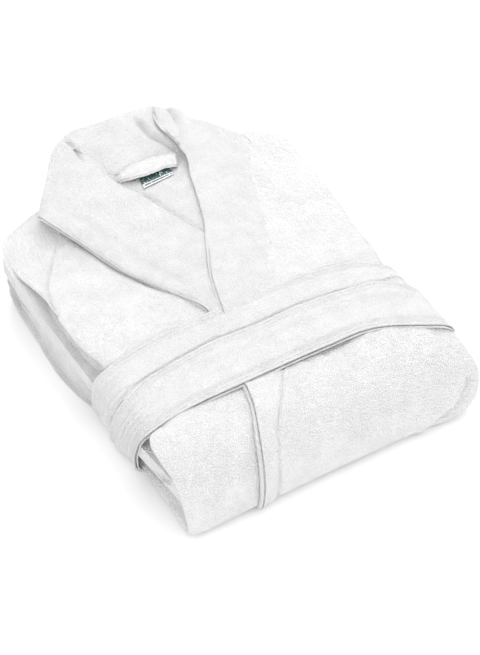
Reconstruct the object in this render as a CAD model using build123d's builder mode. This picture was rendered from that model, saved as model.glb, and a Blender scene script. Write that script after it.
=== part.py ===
"""Folded hotel bathrobe with a shawl collar and a sash wound twice round it.

Millimetres, +Z up. The robe lies face up on the floor plane, +Y runs towards its collar and
+X towards the wearer's left front. The origin is on the underside, beside the sash.
The cloth goes round the foot fold, back under the pack, and round a second fold at the
collar end. Names say the wearer's side: the right front is on the -X side.
"""

import os

from build123d import *

# Pack: height, plan and folds
pack_height = 87.0
foot_y = -206.0
shoulder_y = 240.0
side_top_radius = 26.0
side_bottom_radius = 12.0
pack_plan = [  # y, left x, right x
    (foot_y - 2, -166.0, 166.0),
    (-112.0, -174.0, 182.0),
    (-10.0, -174.0, 184.0),
    (160.0, -176.0, 208.0),
    (shoulder_y, -168.0, 202.0),
]

# Cloth levels, from the floor up
front_ply = 7.0
back_ply = 5.0
channel_height = 7.5  # the underside stands this high over the sash and on towards the foot
channel_y = -11.0
skirt_wing_top = 30.0
hem_front_top = 45.0
sleeve_top = 63.0
sash_loop_top = 65.0
back_bottom = pack_height - front_ply - back_ply
front_bottom = pack_height - front_ply
hem_y = -172.0
core_y = -186.0  # the layers inside reach this far into the foot fold

foot_radius = (pack_height - channel_height) / 2
foot_centre = (foot_y + foot_radius, channel_height + foot_radius)
collar_fold_radius = hem_front_top / 2
collar_fold_centre = (183.0, collar_fold_radius)

# Front overlap below the neck opening: the left front laps over the right one
overlap_x = (-60.0, 30.0)
facing_ply = 1.5
facing_y = (-160.0, -2.0)

# Neck opening, lapels and collar
lapel_bottom = pack_height + 0.3
lapel_top = 95.0
collar_top = 113.0
collar_back_y = 306.0
collar_fall_z = 45.0
under_collar_y = (241.0, 297.0)
neck_opening = [(24, 97), (57, 186), (59, 192), (77, 240), (75, 257.5)]
neck_opening += [(-19.5, 257.5), (-19.5, 240), (-2.5, 192), (-1.5, 186)]
right_lapel_outline = [(-17, 2), (-30, 2), (-45, 30), (-60, 55), (-78, 90), (-97, 156), (-3, 190), (22, 98)]
left_lapel_outline = [(-13, 2), (60, 2), (68, 30), (90, 80), (110, 125), (128, 162), (60, 189), (31, 112)]
collar_outer = [(-99, 156), (-120, 214), (-96, 226), (-66, 280), (-56, 303), (72, collar_back_y)]
collar_outer += [(104, 284), (118, 246), (140, 212), (129, 164)]
collar_inner = [(60, 192), (78, 240), (76, 258), (-20, 258), (-20, 240), (-3, 192)]

# Hanging loop and labels
loop_centre_x = 27.0
loop_span = 76.0
loop_width = 30.0
loop_thickness = 4.0
loop_foot = 5.0
loop_rise = 7.0
neck_seam_y = 246.0
neck_floor = 88.0
seam_gap = 0.3
label_size = (40.0, 17.0, 0.8)
label_sewn_y = 222.0
care_label_size = (30.0, 55.0, 0.8)

# Sash
sash_ply = 3.4
sash_gap = 0.4
sash_corner = 2.0
inner_lap_y = (-74.0, -12.0)
outer_lap_y = (-112.0, -50.0)

# Pockets and sash loops
pocket_size = (140.0, 160.0)
pocket_ply = 3.0
sash_loop_size = (12.0, 70.0)

far = 400.0
os.makedirs("parts", exist_ok=True)


def save(part, name):
    """Labels a finished piece and writes it as its own STEP file."""
    part.label = name
    export_step(part, f"parts/{name}.step")


def pack_form(inset):
    """The pack's outer form, with its sides and top moved in by inset."""
    with BuildPart() as form:
        for y, left, right in pack_plan:
            with BuildSketch(Plane.XZ.offset(-y)) as section:
                with Locations(((left + right) / 2, (pack_height - inset) / 2)):
                    Rectangle(right - left - 2 * inset, pack_height - inset)
                rows = section.vertices().group_by(Axis.Y)
                fillet(rows[-1], side_top_radius - inset)
                fillet(rows[0], side_bottom_radius - inset)
        loft(ruled=True)
    return form.part


def spiral_profile(depth, thickness, top_end_y):
    """Section across the folds of one cloth, whose outer side lies depth inside the pack's skin."""
    inner = depth + thickness
    foot_mid, foot_z = foot_centre
    end_mid, end_z = collar_fold_centre
    foot_out = foot_radius - depth
    foot_in = foot_radius - inner
    end_out = collar_fold_radius - depth
    end_in = collar_fold_radius - inner
    foot_out_top = (foot_mid, foot_z + foot_out)
    foot_out_bottom = (foot_mid, foot_z - foot_out)
    foot_in_top = (foot_mid, foot_z + foot_in)
    foot_in_bottom = (foot_mid, foot_z - foot_in)
    end_out_bottom = (end_mid, end_z - end_out)
    end_out_top = (end_mid, end_z + end_out)
    end_in_top = (end_mid, end_z + end_in)
    end_in_bottom = (end_mid, end_z - end_in)
    with BuildSketch() as profile:
        with BuildLine():
            Polyline((top_end_y, foot_z + foot_in), (top_end_y, foot_z + foot_out), foot_out_top)
            ThreePointArc(foot_out_top, (foot_mid - foot_out, foot_z), foot_out_bottom)
            Polyline(
                foot_out_bottom,
                (channel_y + depth, channel_height + depth),
                (channel_y + depth, depth),
                end_out_bottom,
            )
            ThreePointArc(end_out_bottom, (end_mid + end_out, end_z), end_out_top)
            Polyline(end_out_top, (hem_y, end_z + end_out), (hem_y, end_z + end_in), end_in_top)
            ThreePointArc(end_in_top, (end_mid + end_in, end_z), end_in_bottom)
            Polyline(
                end_in_bottom,
                (channel_y + inner, inner),
                (channel_y + inner, channel_height + inner),
                foot_in_bottom,
            )
            ThreePointArc(foot_in_bottom, (foot_mid - foot_in, foot_z), foot_in_top)
            Line(foot_in_top, (top_end_y, foot_z + foot_in))
        make_face()
    return profile.sketch


def slab(x, y, z):
    """A block between three pairs of limits."""
    size = [limits[1] - limits[0] for limits in (x, y, z)]
    centre = [(limits[0] + limits[1]) / 2 for limits in (x, y, z)]
    with BuildPart() as block:
        with Locations(tuple(centre)):
            Box(*size)
    return block.part


def plate(outline, z):
    """A flat plate of the given plan outline, between two heights."""
    with BuildPart() as made:
        with BuildSketch(Plane.XY.offset(z[0])):
            Polygon(*outline, align=None)
        extrude(amount=z[1] - z[0])
    return made.part


outer_form = pack_form(0)
inner_form = pack_form(front_ply)
sash_channel = slab((-far, far), (-far, channel_y), (-1, channel_height))
with BuildPart() as core_form:
    with BuildSketch(Plane.YZ.offset(-far)):
        with Locations(foot_centre):
            Circle(foot_radius - front_ply - back_ply)
        with Locations((foot_centre[0] + far / 2, foot_centre[1])):
            Rectangle(far, far)
    extrude(amount=2 * far)
core_form = core_form.part
opening_cut = plate(neck_opening, (front_bottom, pack_height))
wing_z = (sash_loop_top, back_bottom)
side_z = (back_bottom, front_bottom)
low_side_z = (front_ply, channel_height + front_ply + back_ply)
side_y = (-160, 175)
skirt_wing_z = (low_side_z[1], skirt_wing_top)


def front_panel(own_x, wing_x, skirt_wing_x, ply_depth):
    """One front: its own half in full depth, its share of the overlap, and the side folded behind."""
    ply = front_ply / 2
    with BuildPart() as front:
        with BuildSketch(Plane.YZ.offset(own_x[0])):
            add(spiral_profile(0, front_ply, shoulder_y))
        extrude(amount=own_x[1] - own_x[0])
        with BuildSketch(Plane.YZ.offset(overlap_x[0])):
            add(spiral_profile(ply_depth, ply, shoulder_y))
        extrude(amount=overlap_x[1] - overlap_x[0])
        for z in (side_z, low_side_z):
            add(slab(own_x, side_y, z) - inner_form)
        add(slab(wing_x, (core_y, 200), wing_z) & core_form)
        add(slab(skirt_wing_x, (core_y, 180), skirt_wing_z) & core_form)
        add(outer_form, mode=Mode.INTERSECT)
        add(opening_cut, mode=Mode.SUBTRACT)
        add(sash_channel, mode=Mode.SUBTRACT)
    return front


# Fronts, each less the pocket of space that its facing takes in the overlap
right_front_panel = front_panel((-210, overlap_x[0]), (-210, -20), (-210, -1), front_ply / 2)
left_front_panel = front_panel((overlap_x[1], 230), (20, 230), (1, 230), 0)
facing_z = {
    "right_front_facing": (front_bottom, front_bottom + facing_ply),
    "left_front_facing": (pack_height - front_ply / 2, pack_height - front_ply / 2 + facing_ply),
}
facings = {name: slab(overlap_x, facing_y, z) for name, z in facing_z.items()}
for front, name in ((right_front_panel, "right_front_panel"), (left_front_panel, "left_front_panel")):
    for facing in facings.values():
        front.part = front.part - facing
    save(front.part, name)

for name, z in facing_z.items():
    with BuildPart() as facing:
        add(facings[name])
    save(facing.part, name)

# Back: one cloth inside the fronts, whole across the pack
with BuildPart() as back_panel:
    with BuildSketch(Plane.YZ.offset(-210)):
        add(spiral_profile(front_ply, back_ply, shoulder_y))
    extrude(amount=440)
    add(inner_form, mode=Mode.INTERSECT)
save(back_panel.part, "back_panel")

# Sleeves folded flat behind the back, each with its turned-back cuff at the foot end
sleeve_z = (hem_front_top, sleeve_top)
cuff_y = (core_y, -95)
for side, x in (("right", (-210, 4)), ("left", (6, 230))):
    with BuildPart() as sleeve:
        add(slab(x, (cuff_y[1], 205), sleeve_z))
        add(outer_form, mode=Mode.INTERSECT)
    save(sleeve.part, f"{side}_sleeve")
    with BuildPart() as cuff:
        add(slab(x, cuff_y, sleeve_z) & core_form)
        add(outer_form, mode=Mode.INTERSECT)
    save(cuff.part, f"{side}_cuff")

# Patch pockets, on the skirt folded inside
pocket_z = (skirt_wing_top, skirt_wing_top + pocket_ply)
for side, x in (("right", -100), ("left", 100)):
    with BuildPart() as pocket:
        with BuildSketch(Plane.XY.offset(pocket_z[0])) as outline:
            with Locations((x, 40)):
                Rectangle(*pocket_size)
            fillet(outline.vertices().group_by(Axis.Y)[0], 15)
        extrude(amount=pocket_z[1] - pocket_z[0])
    save(pocket.part, f"{side}_pocket")

# Sash loops and care label, at the side seams folded behind
for side, x in (("right", -110), ("left", 110)):
    with BuildPart() as sash_loop:
        with BuildSketch(Plane.XY.offset(sleeve_top)):
            with Locations((x, -40)):
                Rectangle(*sash_loop_size)
        extrude(amount=sash_loop_top - sleeve_top)
    save(sash_loop.part, f"{side}_sash_loop")
with BuildPart() as care_label:
    with BuildSketch(Plane.XY.offset(sleeve_top)):
        with Locations((-60, 60)):
            Rectangle(*care_label_size[:2])
    extrude(amount=care_label_size[2])
save(care_label.part, "care_label")

# Neck facing: the inside of the back, seen in the neck opening, rising to the neck seam
with BuildPart() as back_neck_facing:
    with BuildSketch(Plane.YZ.offset(-60)):
        Polygon(
            (90, front_bottom),
            (257, front_bottom),
            (257, neck_floor),
            (200, neck_floor),
            (150, 83),
            (90, 82),
            align=None,
        )
    extrude(amount=160)
    add(plate(neck_opening, (front_bottom, neck_floor)), mode=Mode.INTERSECT)
save(back_neck_facing.part, "back_neck_facing")

# Lapels, free to lift about their roll lines as far back as the shoulders
for outline, name in ((right_lapel_outline, "right_lapel"), (left_lapel_outline, "left_lapel")):
    with BuildPart() as lapel:
        add(plate(outline, (lapel_bottom, lapel_top)))
    save(lapel.part, name)

# Back of the collar: a thick roll round the neck, whose fall hangs down behind
with BuildPart() as back_collar:
    add(plate(collar_outer + collar_inner, (collar_fall_z, collar_top)))
    with BuildSketch(Plane.YZ.offset(-130)):
        Polygon(
            (150, lapel_bottom),
            (150, lapel_top),
            (235, collar_top),
            (286, collar_top),
            (collar_back_y, 98),
            (collar_back_y, collar_fall_z),
            (under_collar_y[1], collar_fall_z),
            (under_collar_y[1], front_bottom),
            (under_collar_y[0], front_bottom),
            (under_collar_y[0], lapel_bottom),
            align=None,
        )
    extrude(amount=280, mode=Mode.INTERSECT)
    fillet(back_collar.edges().filter_by(Axis.Z).sort_by(Axis.Y)[-2:], 9)
save(back_collar.part, "back_collar")

# Under collar: the stand and the top of the back, inside the roll
with BuildPart() as under_collar:
    with BuildSketch(Plane.XY.offset(collar_fall_z)) as outline:
        with Locations((15, (shoulder_y + under_collar_y[1]) / 2)):
            Rectangle(130, under_collar_y[1] - shoulder_y)
        fillet(outline.vertices().group_by(Axis.Y)[-1], 18)
    extrude(amount=front_bottom - collar_fall_z)
save(under_collar.part, "under_collar")

# Hanging loop: a flat strip, arched between its two sewn ends
half_span = loop_span / 2
inner_half_span = half_span - loop_foot
loop_plane = Plane(
    origin=(loop_centre_x, neck_seam_y, neck_floor + seam_gap),
    x_dir=(1, 0, 0),
    z_dir=(0, -1, 0),
)
with BuildPart() as hanging_loop:
    with BuildSketch(loop_plane):
        with BuildLine():
            ThreePointArc((-half_span, 0), (0, loop_rise + loop_thickness), (half_span, 0))
            Line((half_span, 0), (inner_half_span, 0))
            ThreePointArc((inner_half_span, 0), (0, loop_rise), (-inner_half_span, 0))
            Line((-inner_half_span, 0), (-half_span, 0))
        make_face()
    extrude(amount=loop_width)
save(hanging_loop.part, "hanging_loop")

# Woven label, sewn along the edge nearer the collar
with BuildPart() as brand_label:
    with BuildSketch(Plane.XY.offset(neck_floor + seam_gap)):
        with Locations((loop_centre_x + 1, label_sewn_y - label_size[1] / 2)):
            Rectangle(label_size[0], label_size[1])
    extrude(amount=label_size[2])
save(brand_label.part, "brand_label")


def sash_ring(y, depth):
    """One thickness of the sash round the pack, its inner side depth outside the pack's skin."""
    _, left, right = pack_plan[2]
    low = channel_height - sash_gap - depth
    high = pack_height + sash_gap + depth
    width = right - left + 2 * (sash_gap + depth)
    with BuildPart() as ring:
        with BuildSketch(Plane.XZ.offset(-y[1])):
            with Locations(((left + right) / 2, (low + high) / 2)):
                for grow, mode in ((sash_ply, Mode.ADD), (0, Mode.SUBTRACT)):
                    with BuildSketch(Plane.XZ.offset(-y[1]), mode=Mode.PRIVATE) as outline:
                        Rectangle(width + 2 * grow, high - low + 2 * grow)
                        rows = outline.vertices().group_by(Axis.Y)
                        fillet(rows[-1], side_top_radius + depth + grow)
                        fillet(rows[0], sash_corner + depth + grow)
                    add(outline.sketch_local, mode=mode)
        extrude(amount=y[1] - y[0])
    return ring.part


# Sash: two laps, the outer one nearer the foot and lying over the inner one's edge
with BuildPart() as sash:
    add(sash_ring((outer_lap_y[0], inner_lap_y[1]), 0))
    add(sash_ring((inner_lap_y[0], outer_lap_y[1]), sash_ply))
save(sash.part, "sash")
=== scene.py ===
"""Looks of the folded bathrobe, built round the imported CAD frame.

Sizes are millimetres in the CAD frame until a mesh is made: +X towards the wearer's left front,
+Y towards the collar, +Z up, floor at zero. Names say the wearer's side: the right front is on
the -X side, and the left front laps over it.
"""

import math

import bpy
import numpy as np
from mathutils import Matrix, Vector


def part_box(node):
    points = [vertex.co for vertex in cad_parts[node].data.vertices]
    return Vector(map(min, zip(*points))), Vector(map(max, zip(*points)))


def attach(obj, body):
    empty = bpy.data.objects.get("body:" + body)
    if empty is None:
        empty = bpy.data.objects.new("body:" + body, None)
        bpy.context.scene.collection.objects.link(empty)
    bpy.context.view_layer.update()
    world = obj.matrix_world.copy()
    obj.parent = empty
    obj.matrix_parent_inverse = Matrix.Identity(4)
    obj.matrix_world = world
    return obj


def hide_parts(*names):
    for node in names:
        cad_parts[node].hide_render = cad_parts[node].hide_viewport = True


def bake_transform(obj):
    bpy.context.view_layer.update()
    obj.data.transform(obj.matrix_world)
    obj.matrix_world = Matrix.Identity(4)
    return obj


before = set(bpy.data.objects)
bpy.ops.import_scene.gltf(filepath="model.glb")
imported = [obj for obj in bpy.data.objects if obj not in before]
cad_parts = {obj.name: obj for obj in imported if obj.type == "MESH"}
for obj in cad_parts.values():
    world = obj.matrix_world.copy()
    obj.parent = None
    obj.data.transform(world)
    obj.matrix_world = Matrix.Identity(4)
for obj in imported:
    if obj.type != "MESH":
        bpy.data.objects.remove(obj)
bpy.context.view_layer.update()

MM = 0.001


def box_mm(node):
    """Lowest and highest corner of a CAD node, in millimetres."""
    low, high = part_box(node)
    return np.array(low) / MM, np.array(high) / MM


PACK_TOP = box_mm("left_front_panel")[1][2]
LABEL_LOW, LABEL_HIGH = box_mm("brand_label")

# ---- small maths


def smoothstep(low, high, value):
    """0 below low, 1 above high, smooth between."""
    t = np.clip((np.asarray(value, float) - low) / (high - low), 0, 1)
    return t * t * (3 - 2 * t)


def bump(centre, width, value):
    """A bell of height 1 where value is at centre."""
    return np.exp(-(((np.asarray(value, float) - centre) / width) ** 2))


CELL_FACTORS = (374761393, 668265263, 2147483647)
SEED_FACTOR = 974634777
MIX_FACTOR = 1274126177


def hash_noise(cells, seed):
    """One repeatable random number from -1 to 1 for each whole-number cell."""
    h = (cells * CELL_FACTORS).sum(-1) + seed * SEED_FACTOR
    h = (h ^ (h >> 13)) * MIX_FACTOR
    h = h ^ (h >> 16)
    return (h & 0xFFFF) / 32767.5 - 1


def noise(points, cell, seed):
    """Smooth value noise from -1 to 1 at each point, with features about one cell across."""
    scaled = np.asarray(points, float) / cell
    base = np.floor(scaled).astype(np.int64)
    part = scaled - base
    part = part * part * (3 - 2 * part)
    total = np.zeros(scaled.shape[:-1])
    for corner in np.ndindex(2, 2, 2):
        step = np.array(corner)
        weight = np.prod(np.where(step, part, 1 - part), axis=-1)
        total += weight * hash_noise(base + step, seed)
    return total


def hermite(knots, values, at):
    """Smooth curve through values at knots, read at the places in at. Values may be points."""
    knots = np.asarray(knots, float)
    values = np.asarray(values, float)
    extra = [1] * (values.ndim - 1)
    gaps = np.diff(knots)
    slopes = np.diff(values, axis=0) / gaps.reshape(-1, *extra)
    tangents = np.empty_like(values)
    tangents[0], tangents[-1] = slopes[0], slopes[-1]
    before = gaps[:-1].reshape(-1, *extra)
    after = gaps[1:].reshape(-1, *extra)
    tangents[1:-1] = (slopes[:-1] * after + slopes[1:] * before) / (before + after)
    at = np.clip(np.asarray(at, float), knots[0], knots[-1])
    i = np.clip(np.searchsorted(knots, at, side="right") - 1, 0, len(knots) - 2)
    gap = gaps[i]
    t = (at - knots[i]) / gap
    t, gap = t.reshape(*t.shape, *extra), gap.reshape(*gap.shape, *extra)
    a = 2 * t**3 - 3 * t**2 + 1
    b = t**3 - 2 * t**2 + t
    c = -2 * t**3 + 3 * t**2
    d = t**3 - t**2
    return a * values[i] + b * gap * tangents[i] + c * values[i + 1] + d * gap * tangents[i + 1]


def table(pairs, at):
    """Reads a smooth curve given as pairs of place and value, in any order."""
    places, values = zip(*sorted(pairs))
    return hermite(places, values, at)


def knots_of(points):
    """Distance run along a line of points."""
    return np.concatenate([[0], np.cumsum(np.linalg.norm(np.diff(points, axis=0), axis=1))])


def along(points, count):
    """Evenly spaced points on the smooth curve through points."""
    knots = knots_of(np.asarray(points, float))
    return hermite(knots, points, np.linspace(0, knots[-1], count))


def mean_knots(net, axis):
    """Distance run along one axis of a net of points, from its mean gaps."""
    gaps = np.linalg.norm(np.diff(net, axis=axis), axis=2).mean(axis=1 - axis)
    return np.concatenate([[0], np.cumsum(gaps)])


def net_surface(net, spacing):
    """Grid of points about a spacing apart on the smooth surface through a net of control points."""
    net = np.asarray(net, float)
    row_knots, column_knots = mean_knots(net, 0), mean_knots(net, 1)
    rows = np.linspace(0, row_knots[-1], int(row_knots[-1] / spacing))
    columns = np.linspace(0, column_knots[-1], int(column_knots[-1] / spacing))
    by_row = hermite(row_knots, net, rows)
    return np.swapaxes(hermite(column_knots, np.swapaxes(by_row, 0, 1), columns), 0, 1)


def distance_to(points, path):
    """Distance from each point to a line of straight stretches, by their first two coordinates."""
    points = np.asarray(points, float)[..., :2]
    path = np.asarray(path, float)[:, :2]
    nearest = np.full(points.shape[:-1], np.inf)
    for a, b in zip(path[:-1], path[1:]):
        d = b - a
        t = np.clip(((points - a) @ d) / (d @ d), 0, 1)
        nearest = np.minimum(nearest, np.linalg.norm(points - (a + t[..., None] * d), axis=-1))
    return nearest


def groove(points, path, width, fade):
    """A bell of height 1 along a path in plan; fade is a pair of distances that soften its ends."""
    line = along(path, 40)
    depth = bump(0, width, distance_to(points, line))
    for end, reach in zip((line[0], line[-1]), fade):
        gone = np.linalg.norm(np.asarray(points)[..., :2] - end[:2], axis=-1)
        depth = depth * smoothstep(0, reach, gone)
    return depth


def grid_normals(grid, closed=False):
    """Unit normals of a grid of points; closed joins its columns end to end."""
    if closed:
        d_column = (np.roll(grid, -1, axis=1) - np.roll(grid, 1, axis=1)) / 2
    else:
        d_column = np.gradient(grid, axis=1)
    normal = np.cross(np.gradient(grid, axis=0), d_column)
    return normal / np.maximum(np.linalg.norm(normal, axis=-1, keepdims=True), 1e-9)


def plush(points, seed, scale):
    """How far the pile stands proud: soft puffs down to single tufts, in millimetres."""
    total = 0.9 * noise(points, 70, seed) + 0.5 * noise(points, 26, seed + 1)
    total = total + 0.38 * noise(points, 11, seed + 2) + 0.2 * noise(points, 5, seed + 3)
    return scale * (total + 0.2 * noise(points, 2.6, seed + 4))


# ---- cloth meshes

RIM_STEPS = 5  # how many steps round a cloth's border
SPACING = 1.6  # of the points on what shows
PRESS = 3.0  # cloth lower than this is pressed flatter against the floor
BELOW = (0, 0, -1000)


def add_object(name, data):
    """A new object in the scene, made of some data."""
    made = bpy.data.objects.new(name, data)
    bpy.context.scene.collection.objects.link(made)
    return made


def make_object(name, vertices, faces):
    """A smooth mesh object from millimetre vertices, pressed to just above the floor at the bottom."""
    vertices = np.array(vertices, float)
    low = vertices[:, 2] < PRESS
    vertices[low, 2] = PRESS * np.exp(vertices[low, 2] / PRESS - 1)
    mesh = bpy.data.meshes.new(name)
    mesh.from_pydata(vertices * MM, [], faces)
    mesh.update()
    mesh.shade_smooth()
    return add_object(name, mesh)


def quads(index):
    """Faces between the neighbouring rows and columns of a grid of vertex numbers."""
    a, b, c, d = index[:-1, :-1], index[1:, :-1], index[1:, 1:], index[:-1, 1:]
    return np.stack([a, b, c, d], -1).reshape(-1, 4)


def rim_of(grid, normal):
    """The border of a grid as one closed loop of indices, with the outward direction at each."""
    rows, columns = grid.shape[:2]
    loop = [(0, j) for j in range(columns)]
    loop += [(i, columns - 1) for i in range(1, rows)]
    loop += [(rows - 1, j) for j in range(columns - 2, -1, -1)]
    loop += [(i, 0) for i in range(rows - 2, 0, -1)]
    loop = np.array(loop)
    i, j = loop[:, 0], loop[:, 1]
    outward = grid[i, j] - grid[np.clip(i, 1, rows - 2), np.clip(j, 1, columns - 2)]
    n = normal[i, j]
    outward -= (outward * n).sum(-1, keepdims=True) * n
    outward /= np.maximum(np.linalg.norm(outward, axis=-1, keepdims=True), 1e-9)
    return loop, outward


def rounded(outer, inner, outward):
    """Rows of points round a border, between its outer side and its inner side."""
    middle, half = (outer + inner) / 2, (outer - inner) / 2
    radius = np.linalg.norm(half, axis=-1, keepdims=True)
    angles = [math.pi * step / RIM_STEPS for step in range(1, RIM_STEPS)]
    return [middle + half * math.cos(angle) + outward * radius * math.sin(angle) for angle in angles]


def cloth(name, outer, thickness, relief=None, inside=BELOW):
    """A closed sheet with rounded borders, from the grid of its outer side.

    inside is a point on the other side of the cloth. relief lifts the outer side."""
    normal = grid_normals(outer)
    if ((outer - np.array(inside)) * normal).sum(-1).mean() < 0:
        outer = outer[:, ::-1]
        normal = -normal[:, ::-1]
        thickness = thickness[:, ::-1] if np.ndim(thickness) else thickness
        relief = relief[:, ::-1] if relief is not None else None
    thickness = np.broadcast_to(thickness, outer.shape[:2])
    inner = outer - normal * thickness[..., None]
    if relief is not None:
        outer = outer + normal * relief[..., None]
    count = outer.shape[0] * outer.shape[1]
    outer_index = np.arange(count).reshape(outer.shape[:2])
    inner_index = outer_index + count
    loop, outward = rim_of(outer, normal)
    i, j = loop[:, 0], loop[:, 1]
    rim = np.array(rounded(outer[i, j], inner[i, j], outward))
    rim_index = 2 * count + np.arange(rim.shape[0] * rim.shape[1]).reshape(rim.shape[:2])
    rim_index = np.concatenate([[outer_index[i, j]], rim_index, [inner_index[i, j]]])
    rim_index = np.concatenate([rim_index, rim_index[:, :1]], axis=1)
    faces = np.concatenate([quads(outer_index), quads(inner_index)[:, ::-1], quads(rim_index)])
    vertices = np.concatenate([part.reshape(-1, 3) for part in (outer, inner, rim)])
    return make_object(name, vertices, faces)


def band(name, outer, thickness, relief):
    """A closed band: the columns of the grid outer run round it and join end to end."""
    normal = grid_normals(outer, closed=True)
    if ((outer - outer.mean(axis=1, keepdims=True)) * normal).sum(-1).mean() < 0:
        outer = outer[:, ::-1]
        normal = -normal[:, ::-1]
        relief = relief[:, ::-1]
    inner = outer - normal * thickness
    outer = outer + normal * relief[..., None]
    ends = []
    for row, next_row in ((-1, -2), (0, 1)):
        outward = outer[row] - outer[next_row]
        outward /= np.linalg.norm(outward, axis=-1, keepdims=True)
        ends.append(np.array(rounded(outer[row], inner[row], outward)))
    grid = np.concatenate([outer, ends[0], inner[::-1], ends[1][::-1]])
    index = np.arange(grid.shape[0] * grid.shape[1]).reshape(grid.shape[:2])
    index = np.concatenate([index, index[:1]])
    index = np.concatenate([index, index[:, :1]], axis=1)
    return make_object(name, grid.reshape(-1, 3), quads(index))


def spread(stretches):
    """Places along a line from (start, end, spacing) stretches that follow one another."""
    places = [np.linspace(a, b, round((b - a) / step), endpoint=False) for a, b, step in stretches]
    return np.concatenate([*places, [stretches[-1][1]]])


# ---- materials


def new_material(name, colour, roughness):
    """A Principled material and its node tools."""
    material = bpy.data.materials.new(name)
    material.use_nodes = True
    nodes, links = material.node_tree.nodes, material.node_tree.links
    shader = nodes["Principled BSDF"]
    shader.inputs["Base Color"].default_value = (*colour, 1)
    shader.inputs["Roughness"].default_value = roughness
    return material, nodes, links, shader


def add_node(nodes, kind, **settings):
    """A new node with its plain properties and input values set."""
    node = nodes.new(kind)
    for key, value in settings.items():
        if key in node.inputs:
            node.inputs[key].default_value = value
        else:
            setattr(node, key, value)
    return node


def compute(nodes, links, operation, *values):
    """Output of a Math node; each value is a number or another node's output."""
    node = add_node(nodes, "ShaderNodeMath", operation=operation)
    for socket, value in zip(node.inputs, values):
        if isinstance(value, bpy.types.NodeSocket):
            links.new(value, socket)
        else:
            socket.default_value = value
    return node.outputs["Value"]


def remap(nodes, links, value, low, high, to_low=0.0, to_high=1.0):
    """Output that runs from to_low to to_high while value runs from low to high."""
    limits = {"From Min": low, "From Max": high, "To Min": to_low, "To Max": to_high}
    node = add_node(nodes, "ShaderNodeMapRange", **limits)
    links.new(value, node.inputs["Value"])
    return node.outputs["Result"]


def paint(nodes, links, shader, factor, low, high):
    """Base colour that runs from low to high with a factor."""
    colour = add_node(nodes, "ShaderNodeMix", data_type="RGBA", A=(*low, 1), B=(*high, 1))
    links.new(factor, colour.inputs["Factor"])
    links.new(colour.outputs["Result"], shader.inputs["Base Color"])


def emboss(nodes, links, shader, height, strength, depth):
    """Bump from a height output; depth is in millimetres."""
    relief = add_node(nodes, "ShaderNodeBump", Strength=strength, Distance=depth * MM)
    links.new(height, relief.inputs["Height"])
    links.new(relief.outputs["Normal"], shader.inputs["Normal"])


def terry(name, low, high, loop_size, loop_height, row_spacing, row_strength, mottle_size):
    """Cotton pile: mottled white, tufts from Voronoi cells with a painted highlight on their tips and
    painted shade in the pits between them, and faint rows of loops along X.
    """
    material, nodes, links, shader = new_material(name, high, 0.95)
    shader.inputs["Sheen Weight"].default_value = 0.25
    shader.inputs["Sheen Roughness"].default_value = 0.6
    shader.inputs["Specular IOR Level"].default_value = 0.15
    coordinates = add_node(nodes, "ShaderNodeTexCoord").outputs["Object"]
    patches, loops = 1 / (mottle_size * MM), 1 / (loop_size * MM)
    mottle = add_node(nodes, "ShaderNodeTexNoise", Scale=patches, Detail=5.0, Roughness=0.6)
    tufts = add_node(nodes, "ShaderNodeTexVoronoi", Scale=loops, Randomness=0.85)
    fuzz = add_node(nodes, "ShaderNodeTexNoise", Scale=2.6 * loops, Detail=3.0, Roughness=0.7)
    for node in (mottle, tufts, fuzz):
        links.new(coordinates, node.inputs["Vector"])
    # turned by half a right angle, the rows run on from the top down over the foot
    lean = add_node(nodes, "ShaderNodeMapping", Rotation=(-math.pi / 4, 0, 0))
    waves = {"Scale": 0.44 / (row_spacing * MM), "Distortion": 1.2, "Detail": 2.0, "Detail Scale": 1.5}
    rows = add_node(nodes, "ShaderNodeTexWave", bands_direction="Y", **waves)
    links.new(coordinates, lean.inputs["Vector"])
    links.new(lean.outputs["Vector"], rows.inputs["Vector"])

    patch = remap(nodes, links, mottle.outputs["Fac"], 0.35, 0.65)
    # painted light: the colour is lighter on each tuft's tip and darker in the pits between tufts,
    # standing in for the shade the pile casts into itself
    painted_tip_light = remap(nodes, links, tufts.outputs["Distance"], 0.25, 0.9, 1.0, 0.0)
    painted_tip_light_share = compute(nodes, links, "MULTIPLY", painted_tip_light, 0.58)
    mottle_and_painted_pile_shade = compute(nodes, links, "MULTIPLY_ADD", patch, 0.42, painted_tip_light_share)
    paint(nodes, links, shader, mottle_and_painted_pile_shade, low, high)

    pile = compute(nodes, links, "MULTIPLY_ADD", tufts.outputs["Distance"], -1.0, fuzz.outputs["Fac"])
    height = compute(nodes, links, "MULTIPLY_ADD", rows.outputs["Fac"], row_strength, pile)
    emboss(nodes, links, shader, height, 0.9, loop_height)
    return material


# painted shade: this copy of the terry is coloured darker than the fronts' to paint in the shade on the
# collar, the folds and the neck; it is the same white cloth
velour = terry(
    "velour_terry", (0.70, 0.70, 0.705), (0.875, 0.875, 0.875),
    loop_size=1.9, loop_height=2.0, row_spacing=2.6, row_strength=0.2, mottle_size=24,
)
velour_rows = terry(
    "velour_terry_skirt", (0.79, 0.79, 0.795), (0.945, 0.945, 0.945),
    loop_size=2.0, loop_height=2.05, row_spacing=2.6, row_strength=0.5, mottle_size=30,
)
sash_terry = terry(
    "velour_terry_sash", (0.835, 0.835, 0.84), (0.975, 0.975, 0.975),
    loop_size=1.9, loop_height=2.4, row_spacing=2.2, row_strength=0.35, mottle_size=20,
)
loop_terry = terry(
    "loop_terry", (0.76, 0.76, 0.76), (0.92, 0.92, 0.92),
    loop_size=1.4, loop_height=1.4, row_spacing=1.6, row_strength=0.1, mottle_size=12,
)


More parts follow.
